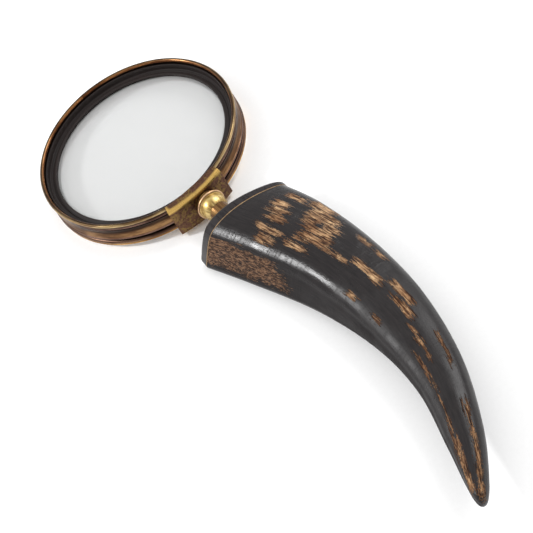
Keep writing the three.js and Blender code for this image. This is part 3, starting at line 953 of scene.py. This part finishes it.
def clear_glass(name):
    """Glass with faint smears and a thin grey film, which lets light through to the floor."""
    paint = Paint(name)
    smear = paint.noise(paint.place(), 60, 4, 0.6)
    tone = paint.ramp(smear, *GLASS_TONES)
    rough = paint.span(smear, 0.45, 0.8, 0.0, 0.03)
    paint.surface(base_color=tone, transmission_weight=1.0, ior=1.5, roughness=rough)
    film = paint.add("BsdfDiffuse", {"Color": GLASS_FILM})
    filmed = paint.add("MixShader", {
        0: GLASS_FILM_SHARE, 1: paint.shader.outputs[0], 2: film.outputs[0],
    })
    see_through = paint.add("BsdfTransparent", {"Color": GLASS_LIGHT_PASSED})
    light = paint.add("LightPath")
    passing = paint.math("MAXIMUM", light.outputs["Is Shadow Ray"], light.outputs["Is Diffuse Ray"])
    both = paint.add("MixShader", {0: passing, 1: filmed.outputs[0], 2: see_through.outputs[0]})
    paint.put(paint.output.inputs["Surface"], both.outputs[0])
    return paint.material


def black_horn(name):
    """Polished black horn, with its fibres showing tan where the black skin has worn."""
    paint = Paint(name)
    straight = paint.place("straight")
    far_along, _, _ = paint.split(straight)
    fibre = paint.noise(paint.stretch(straight, (110, 1250, 1250)), 1, 4, 0.65)
    threads = paint.noise(paint.stretch(straight, (150, 1500, 1500)), 1, 3, 0.6)
    crumb = paint.noise(straight, 1500, 4, 0.7)
    cloud = paint.noise(straight, 95, 4, 0.55)

    # Bare fibre on top: the noise draws the patches' edges out along the grain
    frayed = paint.plus(paint.centred(fibre, 6.5), paint.centred(crumb, 2.4))
    bare = paint.span(paint.plus(paint.field("worn"), frayed), 0.4, 0.15)
    tan = paint.ramp(fibre, *BARE_FIBRE)
    brownish = paint.mix(1, tan, (0.62, 0.53, 0.48), "MULTIPLY")
    towards_tip = paint.span(far_along, 0.07, 0.13, 0, 0.75)
    browned = paint.math("MAXIMUM", paint.span(cloud, 0.42, 0.6), towards_tip)
    deep = paint.mix(browned, tan, brownish)
    shaded = paint.mix(1, deep, (0.20, 0.15, 0.13), "MULTIPLY")
    lined = paint.mix(paint.span(threads, 0.50, 0.45, 0, 0.95), deep, shaded)
    topped = paint.mix(bare, paint.ramp(threads, *BLACK_HORN), lined)

    # Rough brown side under the shoulder
    curl = paint.noise(paint.stretch(straight, (520, 1500, 1500)), 1, 5, 0.8, 0.5)
    ragged = paint.plus(paint.field("side_worn"), paint.centred(fibre, 14))
    rough_side = paint.span(ragged, 0.5, -0.5)
    coloured = paint.mix(rough_side, topped, paint.ramp(curl, *SIDE_BROWN))

    # Polish, duller in clouds, towards the tip, on the near side and where the skin has worn
    worn = paint.math("MAXIMUM", bare, rough_side)
    matt = paint.math("MAXIMUM", worn, paint.field("dull"))
    clouded = paint.span(cloud, 0.38, 0.62, 0.15, 0.27)
    polish = paint.plus(clouded, paint.span(far_along, 0.06, 0.09, 0, 0.16))
    rough = paint.plus(polish, paint.times(matt, 0.3))
    gloss = paint.span(matt, 0, 1, 0.26, 0.14)

    # Relief: scratches across the grain, and pits in the worn places
    scratch = paint.noise(paint.stretch(straight, (1700, 150, 150)), 1, 3, 0.55, 0.5)
    scuffs = paint.times(paint.span(scratch, 0.54, 0.66), paint.span(cloud, 0.42, 0.56))
    grain = paint.plus(threads, paint.plus(scuffs, paint.times(crumb, 1.2)))
    pits = paint.times(worn, paint.plus(fibre, paint.times(curl, 0.7)))
    normal = paint.bump(pits, 0.8, 0.45, paint.bump(grain, 0.5, 0.07))
    return paint.surface(base_color=coloured, roughness=rough, specular_ior_level=gloss, normal=normal)


def plain_horn(name, dark, light, roughness):
    """Two tones of horn, by noise drawn out along the piece."""
    paint = Paint(name)
    grain = paint.noise(paint.stretch(paint.place(), (90, 500, 500)), 1, 5, 0.6)
    colour = paint.ramp(grain, (0.3, dark), (0.7, light))
    rough = paint.span(grain, 0.3, 0.7, roughness, roughness + 0.12)
    normal = paint.bump(grain, 0.2, 0.05)
    return paint.surface(base_color=colour, roughness=rough, specular_ior_level=0.24, normal=normal)


def inner_piece(name, dark, light, scale, metallic, roughness):
    """For the CAD pieces inside: two tones by noise in the piece's own space."""
    paint = Paint(name)
    own = paint.add("TexCoord").outputs["Object"]
    grain = paint.noise(paint.stretch(own, scale), 1, 5, 0.6)
    colour = paint.ramp(grain, (0.3, dark), (0.7, light))
    rough = paint.span(grain, 0.3, 0.7, roughness, roughness + 0.15)
    normal = paint.bump(grain, 0.2, 0.04)
    return paint.surface(base_color=colour, metallic=metallic, roughness=rough, normal=normal)


def floor_paper(name):
    paint = Paint(name)
    paper = paint.noise(paint.add("TexCoord").outputs["Object"], 500, 3)
    return paint.surface(base_color=paint.ramp(paper, *FLOOR_PAPER), roughness=0.9)


# ---- assembly ----

def build_lens_frame():
    """Every visible piece of the body that holds the lens."""
    rim = frame_brass("rim_brass")
    black = lacquer("black_lacquer")
    saddle = saddle_brass("saddle_brass")
    body = "lens_frame"
    finish_piece(lens_mesh(), clear_glass("clear_glass"), body, "lens_glass", "lens")
    finish_piece(retainer_mesh(), black, body, "black_lacquer", "lens_retainer")
    finish_piece(seat_mesh(), black, body, "black_lacquer", "lens_seat")
    finish_piece(front_bezel_mesh(), rim, body, "copper_brass", "front_bezel")
    finish_piece(band_mesh(), rim, body, "aged_brass", "frame_band")
    finish_piece(back_bezel_mesh(), rim, body, "copper_brass", "back_bezel")
    finish_piece(saddle_mesh(), saddle, body, "aged_brass", "saddle_bracket")


def build_handle():
    """Every visible piece of the body that turns on the swivel."""
    ball = bright_brass("bright_brass")
    neck = neck_brass("neck_brass")
    horn = black_horn("black_horn")
    plate = plain_horn("plate_horn", (0.011, 0.009, 0.010), (0.022, 0.018, 0.019), 0.25)
    pale = plain_horn("pale_horn", (0.20, 0.12, 0.06), (0.42, 0.28, 0.15), 0.5)
    body = "handle"
    finish_piece(collar_mesh(), ball, body, "bright_brass", "ball_collar")
    finish_piece(neck_mesh(), neck, body, "aged_brass", "neck_ferrule")
    finish_piece(horn_mesh(), horn, body, "black_horn", "horn")
    end_plate = base_slab("end_plate_horn", PLATE_FROM, PLATE_THICK, PLATE_ROUND, PLATE_WEDGE)
    end_liner = base_slab("end_liner_pale", LINER_FROM, LINER_THICK, LINER_ROUND)
    finish_piece(end_plate, plate, body, "black_horn", "end_plate")
    finish_piece(end_liner, pale, body, "pale_horn", "end_liner")


def paint_cad_pieces():
    """Gives the pieces that keep their CAD shape a material each."""
    steel = inner_piece(
        "turned_steel", (0.22, 0.22, 0.23), (0.36, 0.36, 0.37), (900, 200, 200), 1, 0.25)
    brass = inner_piece(
        "inner_brass", (0.18, 0.10, 0.04), (0.40, 0.25, 0.09), (300, 300, 300), 0.95, 0.32)
    wood = inner_piece(
        "turned_wood", (0.16, 0.09, 0.04), (0.34, 0.21, 0.11), (60, 700, 700), 0, 0.55)
    paper = inner_piece(
        "packing_paper", (0.09, 0.08, 0.07), (0.20, 0.18, 0.15), (800, 800, 800), 0, 0.8)
    for node, material in {
        "swivel_stud": steel, "spring_washer": steel, "thrust_washer": brass,
        "threaded_insert": brass, "core_plug": wood, "lens_gasket": paper,
    }.items():
        frame["nodes"][node].data.materials.clear()
        frame["nodes"][node].data.materials.append(material)


# ---- floor, light and camera ----

def floor():
    size = FLOOR_HALF
    corners = [(-size, -size, 0), (size, -size, 0), (size, size, 0), (-size, size, 0)]
    mesh = bpy.data.meshes.new("floor")
    mesh.from_pydata(corners, [], [(0, 1, 2, 3)])
    mesh.materials.append(floor_paper("floor_paper"))
    obj = bpy.data.objects.new("floor", mesh)
    SCENE.collection.objects.link(obj)


def white_world():
    world = bpy.data.worlds.new("studio")
    world.use_nodes = True
    background = world.node_tree.nodes["Background"]
    background.inputs["Color"].default_value = (1, 1, 1, 1)
    background.inputs["Strength"].default_value = WORLD_STRENGTH
    SCENE.world = world


def softbox(name, azimuth, elevation, size, power):
    """A square lamp that looks at the middle of the object."""
    lamp = bpy.data.lights.new(name, "AREA")
    lamp.size = size
    lamp.energy = power
    obj = bpy.data.objects.new(name, lamp)
    turn = math.radians(azimuth)
    rise = math.radians(elevation)
    away = Vector((math.cos(turn) * math.cos(rise), math.sin(turn) * math.cos(rise), math.sin(rise)))
    obj.location = away * LAMP_DISTANCE
    obj.rotation_euler = away.to_track_quat("Z", "Y").to_euler()
    SCENE.collection.objects.link(obj)


def camera():
    """Looks down on the magnifier from beyond the handle."""
    lens = bpy.data.cameras.new("camera")
    lens.lens = CAMERA_LENS
    lens.clip_start = 0.01
    obj = bpy.data.objects.new("camera", lens)
    place, aim = Vector(CAMERA_PLACE) * MM, Vector(CAMERA_AIM) * MM
    look = (aim - place).to_track_quat("-Z", "Y").to_matrix().to_4x4()
    roll = Matrix.Rotation(math.radians(CAMERA_ROLL_DEG), 4, "Z")
    obj.matrix_world = RING_TO_ROW @ Matrix.Translation(place) @ look @ roll
    SCENE.collection.objects.link(obj)
    SCENE.camera = obj


camera()
build_lens_frame()
build_handle()
paint_cad_pieces()
floor()
white_world()
softbox("key_softbox", *KEY_LAMP)
softbox("back_softbox", *BACK_LAMP)
SCENE.view_settings.view_transform = "Standard"

bpy.context.view_layer.update()
